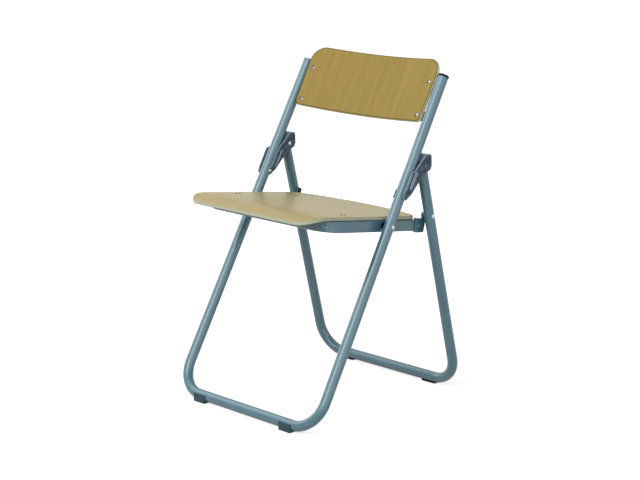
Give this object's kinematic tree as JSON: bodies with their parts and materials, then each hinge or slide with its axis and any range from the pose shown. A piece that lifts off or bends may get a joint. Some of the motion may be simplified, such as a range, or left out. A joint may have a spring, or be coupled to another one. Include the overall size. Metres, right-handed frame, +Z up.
{
  "type": "folding chair",
  "caption": "Folding student chair: bent steel tube frames, curved plywood seat and back, and channel hinge links that fold the seat and rear legs flat against the front frame.",
  "frame": {"origin": "middle of the footprint, on the floor", "axes": "+X to the sitter's left, +Y to the back of the chair, +Z up"},
  "size_m": [0.4314, 0.4672, 0.7215],
  "materials": {
    "frame_paint": "semi-gloss blue-grey paint",
    "link_paint": "semi-gloss purple-grey paint",
    "back_plywood": "clear satin varnish",
    "seat_plywood": "clear satin varnish",
    "bright_steel": "polished",
    "zinc_steel": "zinc plated",
    "rivet_steel": "painted over, slightly worn",
    "black_steel": "blackened",
    "black_plastic": "moulded",
    "grey_plastic": "moulded"
  },
  "bodies": {
    "front_assembly": {"front_frame": "frame_paint", "back_tab_upper_left": "frame_paint", "back_tab_upper_right": "frame_paint", "back_tab_lower_left": "frame_paint", "back_tab_lower_right": "frame_paint", "back_panel": "back_plywood", "back_screws": "bright_steel", "back_washers": "zinc_steel", "back_nuts": "zinc_steel", "tube_cap_left": "black_plastic", "tube_cap_right": "black_plastic", "front_foot_left": "grey_plastic", "front_foot_right": "grey_plastic", "seat_pivot_rivets": "rivet_steel", "seat_pivot_spacer_left": "black_plastic", "seat_pivot_spacer_right": "black_plastic", "link_pivot_rivets": "rivet_steel"},
    "seat_assembly": {"seat_frame": "frame_paint", "seat_panel": "seat_plywood", "seat_tab_front_left": "frame_paint", "seat_tab_front_right": "frame_paint", "seat_tab_rear_left": "frame_paint", "seat_tab_rear_right": "frame_paint", "seat_rivets": "black_steel", "rear_pivot_bracket_left": "frame_paint", "rear_pivot_bracket_right": "frame_paint", "bracket_rivets": "rivet_steel", "rear_outer_washers": "grey_plastic", "rear_inner_washers": "black_plastic", "rear_pivot_studs": "black_steel", "rail_plug_left": "black_plastic", "rail_plug_right": "black_plastic"},
    "link_assembly": {"hinge_link_left": "link_paint", "hinge_link_right": "link_paint"},
    "rear_assembly": {"rear_frame": "frame_paint", "leg_plug_left": "black_plastic", "leg_plug_right": "black_plastic", "rear_foot_left": "black_plastic", "rear_foot_right": "black_plastic", "leg_pivot_rivets": "rivet_steel", "rear_pivot_rivets": "rivet_steel"}
  },
  "joints": [
    {"name": "seat_fold", "type": "hinge", "parent": "front_assembly", "child": "seat_assembly", "pos_m": [0, -0.00103, 0.39908], "axis": [-1, 0, 0], "range_deg": [0, 106.79]},
    {"name": "link_fold", "type": "hinge", "parent": "front_assembly", "child": "link_assembly", "pos_m": [0, 0.03321, 0.45899], "axis": [-1, 0, 0], "range_deg": [0, 138.08]},
    {"name": "rear_leg_fold", "type": "hinge", "parent": "link_assembly", "child": "rear_assembly", "pos_m": [0, 0.09504, 0.51276], "axis": [1, 0, 0], "range_deg": [0, 94.13]}
  ],
  "couplings": [
    {"joint": "link_fold", "follows": "seat_fold", "ratio": 1.2929},
    {"joint": "rear_leg_fold", "follows": "seat_fold", "ratio": 0.88134}
  ]
}
